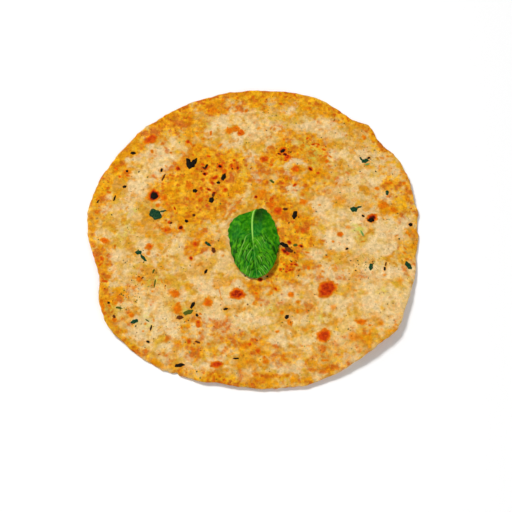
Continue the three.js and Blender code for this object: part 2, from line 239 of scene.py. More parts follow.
# Patches fried golden in the fat: middle x and y, width, depth, bearing of the width, and how strong
FRIED_PATCHES = [
    (-42, 24, 40, 46, 20, 0.95),
    (-30, 48, 50, 34, 10, 0.95),
    (-18, 22, 26, 26, 0, 0.5),
    (18, 42, 46, 34, 165, 0.85),
    (42, 38, 26, 34, 100, 0.56),
    (14, 18, 34, 22, 150, 0.75),
    (25, 1, 22, 32, 80, 0.85),
    (16, -22, 26, 22, 30, 0.95),
    (8, -42, 26, 20, 0, 0.7),
    (34, -54, 16, 12, 0, 0.45),
    (-8, -76, 30, 18, 10, 0.58),
    (-39, -64, 20, 14, 20, 0.55),
    (-36, -79, 32, 12, 160, 0.6),
    (-20, 35, 24, 24, 0, 0.9),
    (-26, 20, 18, 16, 0, 0.8),
    (21, 57, 28, 18, 0, 1),
    (37, 57, 24, 18, 0, 0.85),
    (21, 71, 20, 12, 0, 0.65),
    (-54, 5, 18, 15, 0, 0.7),
    (-39, -11, 17, 12, 20, 0.78),
    (-32, -4, 14, 12, 0, 0.6),
    (-64, -38, 24, 22, 70, 0.3),
    (-82, -42, 14, 30, 80, 0.5),
    (88, 26, 20, 30, 0, 0.8),
    (36, -26, 18, 14, 0, 0.45),
    (60, -26, 20, 10, 0, 0.25),
    (-40, 76, 24, 14, 30, 0.6),
    (40, 64, 26, 16, 150, 0.7),
    (18, 34, 30, 20, 0, 0.7),
    (96, -14, 12, 24, 0, 0.6),
    (-96, -24, 10, 30, 0, 0.7),
    (-24, -66, 26, 14, 0, 0.5),
    (60, -34, 20, 16, 0, 0.25),
    (66, -70, 24, 16, 30, 0.42),
    (20, -84, 60, 16, 8, 0.5),
    (50, 66, 34, 20, 140, 0.2),
    (-84, 44, 10, 12, 60, 0.5),
    (-80, -58, 14, 16, 120, 0.45),
    (-8, 40, 14, 18, 0, 0.8),
    (8, 76, 16, 12, 0, 0.4),
    (-50.4, 40, 13, 14, 0, 0.55),
]
# Stretches of the rim fried golden: bearing, over how many degrees, from how far in, and how strong
FRIED_RIMS = [
    (58, 16, 9, 1),
    (74, 18, 11, 1),
    (92, 12, 14, 1),
    (106, 14, 13, 1),
    (124, 18, 15, 1),
    (144, 14, 11, 1),
    (160, 18, 11, 0.9),
    (184, 14, 8, 0.8),
    (207, 12, 7, 1),
    (228, 12, 6, 0.7),
    (262, 26, 9, 0.9),
    (292, 18, 7, 0.7),
    (318, 14, 4, 0.5),
    (12, 16, 6, 0.7),
    (40, 14, 6, 0.8),
]
# Places that stayed pale, in the same form as the fried patches
PALE_PATCHES = [
    (-58, 53, 32, 24, 60, 1),
    (-69, 38, 24, 20, 0, 1),
    (-9, -58, 26, 18, 0, 0.9),
    (-6, 76, 34, 18, 175, 0.8),
    (-20, -16, 40, 34, 0, 0.55),
    (-26, -62, 36, 26, 20, 0.75),
    (82, -38, 36, 46, 60, 1),
    (52, 2, 38, 24, 0, 0.85),
    (72, 36, 30, 34, 20, 0.7),
    (-12, -50, 30, 18, 0, 0.8),
    (30, -38, 34, 22, 0, 0.6),
    (-60, -62, 44, 26, 140, 0.8),
    (-62, -44, 30, 14, 0, 0.6),
    (50, -46, 26, 20, 0, 0.8),
    (30, -76, 40, 16, 0, 0.7),
    (80, -60, 22, 20, 0, 0.7),
    (80, -4, 24, 26, 0, 0.8),
    (50, 57, 22, 16, 0, 0.7),
    (-84, -22, 18, 26, 90, 0.4),
    (10, 14, 16, 12, 0, 0.4),
    (46, 76, 36, 14, 150, 0.7),
    (52, 34, 18, 14, 0, 0.6),
    (22, -66, 18, 14, 0, 0.6),
]
# Bare dough that the fat never reached, also inside the fried patches, in the same form as those
BARE_PATCHES = [
    (9.9, -45.6, 16, 12, 0, 0.6),
    (24.9, -62.9, 15, 14, 0, 0.8),
    (31.6, 13.5, 6, 8, 80, 0.85),
    (26, 30, 12, 9, 0, 0.6),
    (8.8, 41.1, 14, 10, 0, 0.6),
    (53.1, 40.9, 14, 14, 0, 0.6),
    (40.2, -97.6, 12, 8, 150, 0.6),
    (-50.6, 58.6, 14, 12, 0, 0.6),
    (-49.7, -12.2, 14, 18, 0, 0.7),
    (83.9, -45.8, 12, 14, 0, 0.6),
    (83, 23.5, 10, 12, 0, 0.5),
    (-4.9, -45.5, 12, 10, 0, 0.5),
    (54.5, -61.6, 14, 12, 0, 0.5),
    (-65.2, 41.3, 12, 12, 0, 0.5),
    (-4.2, -97.5, 14, 8, 0, 0.5),
]
# Herb that shows dimly through the dough, in the same form as the fried patches
GREEN_PATCHES = [
    (-32, 79, 5, 7, 20, 0.7),
    (38, 57, 9, 12, 40, 0.7),
    (30, 66, 6, 9, 120, 0.5),
    (66, 1, 9, 7, 140, 0.8),
    (-62, -34, 4, 10, 100, 0.8),
    (-66, -62, 8, 8, 0, 0.6),
    (-44, -54, 14, 6, 30, 0.6),
    (10, -52, 6, 4, 40, 0.6),
    (40, -58, 5, 6, 0, 0.5),
    (-82, -1, 12, 8, 40, 0.45),
    (-87, -54.6, 7, 9, 80, 0.7),
    (-78, 14, 14, 4, 30, 0.6),
    (78, -42, 8, 6, 0, 0.4),
    (-8, 44, 5, 8, 0, 0.4),
]

# Herb scraps pressed into the top: middle x and y, length, breadth, bearing of the length, and tint
GREEN, DARK, OLIVE, BROWN, PALE_GREEN = range(5)
HERBS = [
    (-63.2, 12.1, 8.8, 8.2, 100, GREEN),
    (-58.4, 14.4, 4.4, 1.8, 10, GREEN),
    (-43, 49.8, 8, 4.2, 105, DARK),
    (-39.9, 50.2, 8.4, 3.9, 66, DARK),
    (-41.4, 48.6, 6.4, 5.4, 90, DARK),
    (-64.5, 25.6, 6.4, 4.8, 70, DARK),
    (-72.8, -14.6, 4.4, 3.4, 150, GREEN),
    (-69.6, -18.4, 6, 2.4, 125, GREEN),
    (-73.1, -61.4, 4.6, 3.4, 25, GREEN),
    (-40.6, -55.2, 6.4, 3.6, 30, OLIVE),
    (-45.6, -58.6, 5, 2.8, 20, BROWN),
    (-38, -50.5, 6.4, 2, 62, DARK),
    (-35.2, -57, 2.6, 1.8, 90, DARK),
    (-44.9, -89.2, 6.2, 2.8, 0, DARK),
    (-29.4, -8.6, 4.6, 2.6, 140, GREEN),
    (-25.8, -13, 4, 3.2, 120, BROWN),
    (-20.1, 39.7, 6, 3.2, 85, DARK),
    (-23.4, 35.4, 3.2, 2, 10, DARK),
    (-27.7, 22.8, 4.6, 3.8, 20, DARK),
    (-26.6, 26.4, 2.8, 2.4, 60, BROWN),
    (25.6, 12, 5.8, 4, 70, DARK),
    (18.6, -9.2, 6, 3.6, 160, DARK),
    (21.6, -12.6, 6.4, 3.4, 160, BROWN),
    (25.6, -9.4, 3.6, 2, 20, OLIVE),
    (63.4, 15.8, 5.2, 4.4, 110, GREEN),
    (66.6, 17.4, 4.4, 1.6, 10, GREEN),
    (72.1, 51.8, 4.6, 3.8, 10, GREEN),
    (69.6, 53.2, 3.4, 1.8, 120, GREEN),
    (73.4, 49.2, 3.2, 1.6, 30, PALE_GREEN),
    (74.6, 54, 2.6, 1.8, 60, DARK),
    (85.2, 27.7, 4.8, 2, 85, GREEN),
    (73.9, 8, 5, 3.4, 160, DARK),
    (95.9, -23.6, 6.2, 4, 110, GREEN),
    (72.5, -24.6, 4.8, 3.4, 80, GREEN),
    (11.2, 36.4, 3.8, 2.2, 150, OLIVE),
    (-79.5, 57.1, 4, 2.4, 15, DARK),
    (99.1, 5.3, 3.4, 2.6, 100, DARK),
    (19.7, -58.2, 3.2, 3, 0, DARK),
    (58, -12, 2, 2, 0, DARK),
    (81, -26.1, 2.8, 1.9, 80, DARK),
    (81.8, -22.7, 3, 1.2, 80, BROWN),
    (69.1, 11, 2.1, 1.9, 0, DARK),
    (-38.4, 29.4, 3.6, 3, 60, DARK),
    (-43.3, 7.4, 2.8, 2.4, 80, DARK),
    (-17.7, -53.1, 3.2, 1.8, 0, DARK),
    (-11.1, -85.5, 3.6, 1.5, 0, DARK),
    (-34.3, -74.7, 3.4, 1.7, 160, BROWN),
    (-64.4, -74.3, 2.4, 1.8, 0, DARK),
    (-30.3, -27.8, 4.2, 1.8, 75, DARK),
    (-82.9, 43.9, 2.2, 1.9, 30, DARK),
    (-60.5, 44.7, 3.4, 1.8, 70, DARK),
    (-59, 39.4, 5.6, 1.6, 65, BROWN),
    (-31.4, 47.6, 3.6, 2.2, 70, DARK),
    (-32.9, 46.2, 3, 1.8, 150, BROWN),
    (-22.6, 47.6, 2.6, 2, 0, DARK),
    (-38.7, 11.7, 2.8, 1.9, 80, BROWN),
    (-53.1, 6, 2.2, 1.9, 0, BROWN),
    (18.4, 59, 3.8, 2.8, 20, DARK),
    (19.6, 16.1, 3.2, 2.6, 0, BROWN),
    (-89.9, 24, 4.4, 1.5, 80, DARK),
    (-83.9, 32.4, 2.8, 2.4, 60, DARK),
    (-62.9, -27.5, 4.2, 1.1, 75, OLIVE),
    (-62.9, -65.4, 4.8, 1.1, 75, DARK),
    (-65.4, -60.6, 3.2, 1.1, 140, OLIVE),
    (-61.8, -36, 6, 1.2, 82, OLIVE),
    (-100.5, 22, 3, 1.2, 60, DARK),
    (68, -1.4, 5, 1.4, 120, PALE_GREEN),
    (-89.4, -49.4, 2.2, 1.6, 30, DARK),
    (-83, -52.6, 5.4, 1.5, 165, OLIVE),
    (-85.6, -58.4, 2.4, 2.2, 80, BROWN),
]
# Dough scorched round the dark scraps: how dark, and how much longer and broader than the scrap
HERB_SCORCH = 0.3
HERB_SCORCH_LENGTH = 1.7
HERB_SCORCH_BREADTH = 1.9
# Points round a scrap, and rings of them
HERB_SIDES = 28
HERB_RINGS = 4
# How far a scrap's middle stands out and its outline sinks in, how wavy its face is, and how uneven its
# outline is
HERB_PROUD = 0.32
HERB_SUNK = 0.12
HERB_WAVE = 0.1
HERB_LOBES = 0.17
# Fine bits of herb and seed: how many, how far out they lie, how long, and how broad for their length
HERB_BITS = 520
HERB_BIT_REACH = 103
HERB_BIT_SIZES = (0.6, 1.9)
HERB_BIT_BREADTHS = (0.45, 0.9)
# More than 1 makes most bits small
HERB_BIT_SKEW = 2.5
HERB_BIT_SIDES = 7
# How far a bit stands out: a part that all have, and a share of its length
HERB_BIT_PROUD = (0.12, 0.1)
# The share of the bits that has each tint, from GREEN to PALE_GREEN
BIT_TINTS = [0.2, 0.36, 0.2, 0.18, 0.06]
# Where half of the bits gather: middle x and y, and how wide the cluster is
BIT_CLUSTERS = [
    (-18, 40, 16),
    (22, -22, 9),
    (21, -12, 7),
    (22, 60, 10),
    (73, -20, 8),
    (76, 52, 6),
    (30, -60, 16),
    (-50, -62, 14),
    (-78, -46, 9),
    (66, -24, 10),
    (-70, -30, 12),
]

# Mint leaf: both ends of its midrib, and its margin from the stalk end down each side to the tip
LEAF_STALK = (1.2, 15.4)
LEAF_TIP = (1.6, -33.2)
LEAF_LEFT_SIDE = [
    (-4.9, 12.6),
    (-10.8, 9.8),
    (-14.8, 5.4),
    (-16.4, -0.6),
    (-15.4, -7.4),
    (-13.8, -17),
    (-9.8, -26.6),
    (-3.6, -32),
]
LEAF_RIGHT_SIDE = [
    (4.4, 15.2),
    (8, 12),
    (11.8, 6),
    (13.8, -0.4),
    (15.4, -7.6),
    (14.2, -14.8),
    (12.2, -23.6),
    (7.6, -30.4),
]
# How far the midrib bows sideways: less than 0 is to the left
LEAF_BEND = -2.9
LEAF_HALF_BREADTH = 15.8
LEAF_THICKNESS = 0.4
LEAF_RIB_THICKNESS = 0.45
# The gap under the leaf, and how high it rises at the midrib, in each half, at the tip and by the stalk
LEAF_GAP = 0.3
LEAF_RIB_RISE = 1.5
LEAF_PUFF = 1.9
LEAF_TIP_LIFT = 1.5
LEAF_CURL = 2.4
# Teeth on each side of the margin, and how far they stand out
LEAF_TEETH = 13
LEAF_TOOTH = 0.6
# Side veins, how much they slant at the stalk and how much more at the tip, and which left one is palest
LEAF_VEINS = 9
LEAF_VEIN_SLANT = (2.4, 4)
# That left vein is made palest to paint a highlight along it
LEAF_HIGHLIT_VEIN = 3
# How high the blade puffs up between the veins, and how deep its creases are as a share of that
LEAF_QUILT = 0.65
LEAF_CREASE = 0.6
LEAF_ROWS = 210
LEAF_COLUMNS = 96

# Camera: how high it looks from, how far off it is, how much its picture spans there, and where it looks
CAMERA_ELEVATION = 64.55
CAMERA_DISTANCE = 700
CAMERA_SPAN = 320.6
CAMERA_TARGET = (2.1, -17.8, 2.9)
SENSOR_WIDTH = 36
# Floor: its width in metres, and how far it lies under the bread, so that their faces don't share a plane
FLOOR_WIDTH = 6
FLOOR_GAP = 0.05
# Light: the strength of the white sky, and each lamp's name, place and width in metres, and watts
SKY_STRENGTH = 0.24
LAMPS = [
    ("key", (-0.9, 0.8, 1.7), 0.5, 35),
    ("fill", (0.5, -0.8, 0.8), 1.2, 6),
]
# The random values of the soft noise repeat after this many lumps
NOISE_CELLS = 256


# Colours


def linear(red, green, blue):
    """A colour as seen on a screen, from 0 to 255, as the linear colour that the shader takes."""
    return tuple(((channel / 255 + 0.055) / 1.055) ** 2.4 for channel in (red, green, blue)) + (1,)


# Dough, from floury to fried
FLOURY = linear(244, 215, 165)
LIGHT = linear(243, 209, 141)
PINKISH = linear(234, 188, 112)
CREAM = linear(230, 186, 84)
YELLOW = linear(228, 180, 46)
DUSKY = linear(208, 144, 52)
TAN = linear(214, 142, 20)
HONEY = linear(244, 180, 22)
GOLD = linear(226, 148, 0)
AMBER = linear(206, 104, 0)
# Scorched dough, from toasted to charred
TOASTED = linear(226, 124, 0)
ORANGE = linear(222, 98, 0)
RUST = linear(206, 62, 0)
BURNT = linear(164, 34, 0)
CHAR = linear(70, 20, 4)
# Specks, and herb that shows through
SPECK_BROWN = linear(140, 70, 10)
SPECK_OLIVE = linear(104, 90, 10)
SPECK_DARK = linear(60, 30, 6)
PALE_HERB = linear(190, 190, 82)
# Each tint of herb, from GREEN to PALE_GREEN, and how strongly a painted highlight shows on it
HERB_COLOURS = [
    linear(6, 54, 32),
    linear(18, 8, 4),
    linear(78, 84, 14),
    linear(92, 40, 10),
    linear(112, 150, 76),
]
HERB_HIGHLIGHT_STRENGTH = [0.2, 0.04, 0.2, 0.08, 0.08]
# The painted highlight's colour, then the colour of the scraps' rims
HERB_HIGHLIGHT_COLOUR = linear(120, 160, 90)
HERB_RIM = linear(120, 96, 40)
# Mint leaf. The darkest green is painted shade, and the brightest is also painted light on the puffs
LEAF_SHADE_GREEN = linear(4, 46, 0)
LEAF_DEEP = linear(24, 104, 0)
LEAF_MIDDLE = linear(48, 134, 0)
LEAF_BRIGHT = linear(92, 168, 18)
LEAF_COOL = linear(20, 122, 28)
LEAF_VEIN = linear(160, 214, 90)
FLOOR_COLOUR = linear(250, 250, 250)


# Curves and noise


def bell(x):
    return np.exp(-np.square(x))


def smooth(x):
    """A soft step from 0 to 1."""
    x = np.clip(x, 0, 1)
    return x * x * (3 - 2 * x)


def mix(a, b, share):
    return a + (b - a) * share


def turn_between(bearing, other):
    """The angle from one bearing to another, from -180 to 180 degrees."""
    return (bearing - other + 180) % 360 - 180


@lru_cache
def noise_table(seed):
    return np.random.default_rng(seed).uniform(-1, 1, (NOISE_CELLS, NOISE_CELLS))


def soft_noise(x, y, size, seed):
    """Smooth random values from -1 to 1 over a plane, in lumps of about the size given."""
    table = noise_table(seed)
    column, row = np.floor(x / size).astype(int), np.floor(y / size).astype(int)
    across, along = smooth(x / size - column), smooth(y / size - row)

    def corner(right, up):
        return table[(column + right) % NOISE_CELLS, (row + up) % NOISE_CELLS]

    near = mix(corner(0, 0), corner(1, 0), across)
    far = mix(corner(0, 1), corner(1, 1), across)
    return mix(near, far, along)


def random_place(random, reach):
    """A random place in a disc of the radius given."""
    bearing, distance = random.uniform(0, 2 * math.pi), reach * math.sqrt(random.uniform(0, 1))
    return distance * math.cos(bearing), distance * math.sin(bearing)


# Form of the bread


def edge_radius(bearing):
    """How far out the bread's edge is on each bearing."""
    radius = np.full_like(bearing, BREAD_RADIUS)
    for at, by, spread in EDGE_BULGES + EDGE_NICKS:
        radius += by * bell(turn_between(bearing, at) / spread)
    for count, height, start in EDGE_WAVES:
        radius += height * np.sin(np.radians(count * bearing + start))
    arc = np.radians(bearing % 360) * BREAD_RADIUS
    ahead = 2 * math.pi * BREAD_RADIUS - arc
    closing = smooth(arc / EDGE_CRUMBLE_FADE) * smooth(ahead / EDGE_CRUMBLE_FADE)
    return radius + EDGE_CRUMBLE * closing * soft_noise(arc, 0 * arc, EDGE_CRUMB_LENGTH, seed=3)


def polar(x, y):
    """The bearing and the distance of each point, and how far out the edge is on that bearing."""
    bearing = np.degrees(np.arctan2(y, x))
    return bearing, np.hypot(x, y), edge_radius(bearing)


def underside_height(x, y):
    """Height of the underside: flat where it rests, raised where the edge lifts or the bread swells."""
    bearing, distance, edge = polar(x, y)
    height = np.full_like(x, -PRESSED_FLAT)
    for at, by, spread, start in EDGE_LIFTS:
        outward = np.clip((distance / edge - start) / (1 - start), 0, 1)
        height += by * outward**LIFT_CURVE * bell(turn_between(bearing, at) / spread)
    for rise, length, across, start in SWELLS:
        along = x * math.cos(math.radians(across)) + y * math.sin(math.radians(across))
        height += rise * np.sin(2 * math.pi * along / length + math.radians(start))
    return np.maximum(0, height)


def reach_into(x, y, oval):
    """How far out of an oval each point is: 0 in its middle and 1 on its outline."""
    middle_x, middle_y, wide, deep, turn = oval
    dx, dy = x - middle_x, y - middle_y
    c, s = math.cos(math.radians(turn)), math.sin(math.radians(turn))
    return np.hypot((dx * c + dy * s) * 2 / wide, (dy * c - dx * s) * 2 / deep)


def pale_ring(x, y):
    """The share of each point in the pale ring, which fades on its far side."""
    ring_x, ring_y, radius, width, palest = PALE_RING
    bearing = np.degrees(np.arctan2(y - ring_y, x - ring_x))
    off_ring = (np.hypot(x - ring_x, y - ring_y) - radius + 0.9 * soft_noise(x, y, 3, seed=15)) / width
    return bell(1.4 * off_ring) * (0.45 + 0.55 * bell(turn_between(bearing, palest) / 110))


def dough_relief(x, y):
    """How far the dough's skin stands above its even thickness: small lumps and puffed blisters."""
    relief = np.zeros_like(x)
    for seed, (height, size) in enumerate(DOUGH_LUMPS):
        relief += height * soft_noise(x, y, size, seed=20 + seed)
    for *oval, strength in SCORCHES:
        width = PUFF_SPREAD * (oval[2] + oval[3]) / 2
        puff = SCORCH_PUFF * strength * min(1, width / FULL_PUFF_WIDTH)
        relief += puff * bell((reach_into(x, y, oval) / PUFF_SPREAD) ** PUFF_CURVE)
    return relief + PALE_RING_RISE * pale_ring(x, y)


def bread_thickness(x, y):
    """The dough's even thickness, which lessens towards the edge."""
    _, distance, edge = polar(x, y)
    return mix(EDGE_THICKNESS, BREAD_THICKNESS, smooth((edge - distance) / EDGE_TAPER))


# Meshes


def new_object(name, data):
    """An object of the scene that shows the mesh, lamp or lens given."""
    made = bpy.data.objects.new(name, data)
    bpy.context.scene.collection.objects.link(made)
    return made


class Shell:
    """A mesh in the making: vertices in millimetres, faces, and the material marks of each vertex.

    A vertex's height is its share of the way from the bread's underside to its top, plus a rise above that.
    """

    def __init__(self):
        self.rows = []
        self.faces = []
        self.count = 0

    def add(self, x, y, share=1, rise=0, marks=(0, 0, 0, 1)):
        """Adds vertices and returns their numbers."""
        columns = [x, y, share, rise, *marks]
        self.rows.append(np.column_stack([np.broadcast_to(column, x.shape) for column in columns]))
        numbers = np.arange(self.count, self.count + len(x))
        self.count += len(x)
        return numbers

    def zip(self, first, second):
        """Joins two rings of vertices that run anticlockwise and may differ in number.

        The triangles face up where the second ring lies outside the first, and down where it lies inside.
        """
        i = j = 0
        n, m = len(first), len(second)
        while i < n or j < m:
            a, b = first[i % n], second[j % m]
            if i < n and (i + 0.5) * m < (j + 0.5) * n:
                i += 1
                corners = (a, b, first[i % n])
            else:
                j += 1
                corners = (a, b, second[j % m])
            if len(set(corners)) == 3:
                self.faces.append(corners)

    def ring(self, last, *vertices):
        """Adds a ring of vertices, joins it to the last one and returns its numbers."""
        fresh = self.add(*vertices)
        self.zip(last, fresh)
        return fresh

    def make(self, name, material, slot, marks_at=None):
        """Makes the mesh object, which rides on the root body."""
        x, y, share, rise, *marks = np.concatenate(self.rows).T
        if marks_at:
            marks = marks_at(x, y, share)
        height = underside_height(x, y) + share * (bread_thickness(x, y) + dough_relief(x, y)) + rise
        points = np.column_stack([x + SHIFT[0], y + SHIFT[1], height]) * MM
        mesh = bpy.data.meshes.new(name)
        mesh.from_pydata(points.tolist(), [], [tuple(map(int, face)) for face in self.faces])
        layer = mesh.attributes.new("marks", "FLOAT_COLOR", "POINT")
        layer.data.foreach_set("color", np.column_stack(marks).astype(np.float32).ravel())
        mesh.shade_smooth()
        mesh.materials.append(material)
        piece = new_object(name, mesh)
        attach(piece, "root")
        return piece


# Marks of the bread


def patches(x, y, rows, seed, ragged=0.35, soft=0.35, blur=0):
    """How strongly a set of ovals with ragged outlines covers each point, from 0 to 1.

    Their outlines are soft over a share of their size, plus a width of blur in millimetres.
    """
    cover = np.zeros_like(x)
    for *oval, strength in rows:
        size = (oval[2] + oval[3]) / 2
        step = min(0.75, soft + blur / size)
        rag = ragged * (soft_noise(x, y, 0.3 * size, seed) + 0.6 * soft_noise(x, y, 0.12 * size, seed + 1))
        reach = reach_into(x, y, oval) * (1 + rag)
        cover = np.maximum(cover, strength * smooth((1 + step - reach) / (2 * step)))
    return cover


def fried_rims(x, y):
    """How strongly the rim is fried at each point."""
    bearing, distance, edge = polar(x, y)
    cover = np.zeros_like(x)
    for at, spread, reach, strength in FRIED_RIMS:
        depth = reach * (1 + 0.5 * soft_noise(x, y, 9, seed=31) + 0.25 * soft_noise(x, y, 4, seed=32))
        inward = (edge - distance) / depth
        cover = np.maximum(cover, strength * smooth(1.5 - inward) * bell(turn_between(bearing, at) / spread))
    return cover


def small_scorches():
    """Rows of small scorched spots: half of them spread at random, and half of them in the fried patches."""
    random = np.random.default_rng(seed=7)
    rows = []
    for number in range(SMALL_SCORCHES):
        x, y = random_place(random, SMALL_SCORCH_REACH)
        strength = random.uniform(*LONE_SPOT_STRENGTHS)
        if number % 2:
            patch = FRIED_PATCHES[random.integers(len(FRIED_PATCHES))]
            x, y = random.normal(patch[:2], (patch[2] / 4, patch[3] / 4))
            strength = patch[5] * random.uniform(*FRIED_SPOT_STRENGTHS)
        wide, deep = random.uniform(*SMALL_SCORCH_SIZES, 2)
        rows.append((x, y, wide, deep, random.uniform(0, 180), strength))
    return rows


def burnt_round_herbs():
    """Rows of scorched dough round the darkest herb scraps."""
    rows = []
    for x, y, long, broad, turn, tint in HERBS:
        if tint in (DARK, BROWN):
            rows.append((x, y, HERB_SCORCH_LENGTH * long, HERB_SCORCH_BREADTH * broad, turn, HERB_SCORCH))
    return rows


def top_marks(x, y):
    """Scorched, fried, pale and green shares of the top at each point."""
    crisp = [row for row in SCORCHES if row[5] >= CRISP_SCORCH]
    faint = [row for row in SCORCHES if row[5] < CRISP_SCORCH]
    scorched = np.maximum.reduce([
        patches(x, y, crisp, seed=41, ragged=0.2, soft=0.2, blur=2.2),
        patches(x, y, faint, seed=41, ragged=0.3, soft=0.5, blur=1.5),
        patches(x, y, small_scorches() + burnt_round_herbs() + BURNT_SPECKS, seed=43, ragged=0.2, soft=0.6),
        patches(x, y, CREASES, seed=42, ragged=0.2, soft=0.5),
    ])
    pale = patches(x, y, PALE_PATCHES, seed=47, soft=0.6)
    for *oval, strength in SCORCHES:
        halo = strength * bell(reach_into(x, y, oval) / HALO_REACH)
        scorched = np.maximum(scorched, SCORCH_HALO * halo)
        pale = np.maximum(pale, PALE_HALO * halo)
    bare = patches(x, y, BARE_PATCHES, seed=48, soft=0.6)
    pale = np.maximum(pale, bare)
    fried = np.maximum(patches(x, y, FRIED_PATCHES, seed=45, soft=0.45), fried_rims(x, y)) * (1 - bare)
    green = patches(x, y, GREEN_PATCHES, seed=49, ragged=0.5, soft=0.8)
    ring = pale_ring(x, y)
    return [scorched * (1 - ring), fried * (1 - 0.9 * ring), np.maximum(pale, ring), green]


def underside_marks(x, y):
    """The same shares for the underside, whose spots are drawn at random."""
    random = np.random.default_rng(seed=11)
    rows = []
    for _ in range(UNDERSIDE_SPOTS):
        place = random_place(random, UNDERSIDE_SPOT_REACH)
        wide, deep = random.uniform(*UNDERSIDE_SPOT_SIZES, 2)
        turn, strength = random.uniform(0, 180), random.uniform(*UNDERSIDE_SPOT_STRENGTHS)
        rows.append((*place, wide, deep, turn, strength))
    scorched = patches(x, y, rows, seed=51, ragged=0.3, soft=0.35)
    fried = smooth(0.5 + 0.9 * soft_noise(x, y, 26, seed=53) + 0.3 * soft_noise(x, y, 9, seed=54))
    return [scorched, 0.8 * fried, 0.3 * (1 - fried), 0 * x]


def bread_marks(x, y, share):
    """The shares over the whole bread, going over from the underside's to the top's along the edge."""
    side = 1 - np.abs(2 * share - 1)
    pairs = zip(underside_marks(x, y), top_marks(x, y))
    scorched, fried, pale, green = (mix(low, high, share) for low, high in pairs)
    return [scorched * (1 - 0.7 * side), fried * (1 - 0.4 * side), pale + 0.5 * side, green]


def bread_outline(count):
    """Points where the bread's corners start to round off, once round it."""
    bearing = np.arange(count) * 360 / count
    distance = edge_radius(bearing) - EDGE_ROUNDING
    return distance * np.cos(np.radians(bearing)), distance * np.sin(np.radians(bearing))


def bread_shell():
    """The whole bread: a fine top, a rounded edge and an underside."""
    shell = Shell()
    centre = np.zeros(1)
    last = shell.add(centre, centre)
    for ring in range(1, TOP_RINGS + 1):
        x, y = (axis * ring / TOP_RINGS for axis in bread_outline(RING_GROWTH * ring))
        last = shell.ring(last, x, y)
    x, y = bread_outline(EDGE_POINTS)
    for step in range(1, EDGE_STEPS + 1):
        tilt = math.radians(90 - 180 * step / EDGE_STEPS)
        out = 1 + EDGE_ROUNDING / np.hypot(x, y) * math.cos(tilt)
        last = shell.ring(last, x * out, y * out, (1 + math.sin(tilt)) / 2)
    for ring in range(UNDERSIDE_RINGS - 1, 0, -1):
        outline = bread_outline(EDGE_POINTS * ring // UNDERSIDE_RINGS)
        x, y = (axis * ring / UNDERSIDE_RINGS for axis in outline)
        last = shell.ring(last, x, y, 0)
    shell.ring(last, centre, centre, 0)
    return shell


# Herbs


def herb_scrap(shell, herb, seed, sides, rings, proud):
    """One scrap of herb that follows the bread's top, with an uneven outline and a slightly domed face."""
    middle_x, middle_y, long, broad, turn, tint = herb
    turn = math.radians(turn)
    angle = np.arange(sides) * 2 * math.pi / sides
    uneven = 1 + HERB_LOBES * (np.sin(2 * angle + seed) + 0.6 * np.sin(5 * angle + 3 * seed))
    tint = tint / (len(HERB_COLOURS) - 1)
    last = shell.add(np.array([middle_x]), np.array([middle_y]), 1, proud, [tint, 0, 0, 1])
    for ring in range(1, rings + 1):
        share = ring / rings
        along = share * long / 2 * uneven * np.cos(angle)
        across = share * broad / 2 * uneven * np.sin(angle)
        x = middle_x + along * math.cos(turn) - across * math.sin(turn)
        y = middle_y + along * math.sin(turn) + across * math.cos(turn)
        wave = HERB_WAVE * np.sin(3 * angle + seed) * share * (1 - share)
        rise = mix(proud, -HERB_SUNK, share**4) + wave
        last = shell.ring(last, x, y, 1, rise, [tint, share, 0, 1])


def herb_scraps():
    """All the herb scraps that were pressed into the top."""
    shell = Shell()
    for seed, herb in enumerate(HERBS):
        herb_scrap(shell, herb, seed, HERB_SIDES, HERB_RINGS, HERB_PROUD)
    return shell


def herb_bits():
    """Fine bits of herb and seed, strewn at random with some clusters."""
    random = np.random.default_rng(seed=5)
    low, high = HERB_BIT_SIZES
    proud, plump = HERB_BIT_PROUD
    shell = Shell()
    for number in range(HERB_BITS):
        if number % 2 == 0:
            cluster = BIT_CLUSTERS[random.integers(len(BIT_CLUSTERS))]
            x, y = random.normal(cluster[:2], cluster[2] / 2)
        else:
            x, y = random_place(random, HERB_BIT_REACH)
        long = mix(low, high, random.uniform(0, 1) ** HERB_BIT_SKEW)
        broad = long * random.uniform(*HERB_BIT_BREADTHS)
        turn, tint = random.uniform(0, 180), random.choice(len(BIT_TINTS), p=BIT_TINTS)
        bit = (x, y, long, broad, turn, tint)
        herb_scrap(shell, bit, number, HERB_BIT_SIDES, 1, proud + plump * long)
    return shell


# Mint leaf


def spline(points, count):
    """Evenly numbered points on a smooth curve through those given."""
    knots = np.array(points, float)
    knots = np.vstack([2 * knots[0] - knots[1], knots, 2 * knots[-1] - knots[-2]])
    place = np.linspace(0, len(points) - 1, count)
    start = np.minimum(place.astype(int), len(points) - 2)
    t = (place - start)[:, None]
    a, b, c, d = (knots[start + k] for k in range(4))
    return b + 0.5 * t * (c - a + t * (2 * a - 5 * b + 4 * c - d + t * (3 * (b - c) + d - a)))


def rib_line(along):
    """How far right the midrib lies at each share of the way from stalk to tip."""
    bend = LEAF_BEND * np.sin(math.pi * np.sqrt(np.clip(along, 0, 1)))
    return mix(LEAF_STALK[0], LEAF_TIP[0], along) + bend


def place_on_leaf(x, y):
    """Share of the way from stalk to tip, and from the midrib to the left (-1) or right (1) margin."""
    along = (LEAF_STALK[1] - y) / (LEAF_STALK[1] - LEAF_TIP[1])
    return along, (x - rib_line(along)) / LEAF_HALF_BREADTH


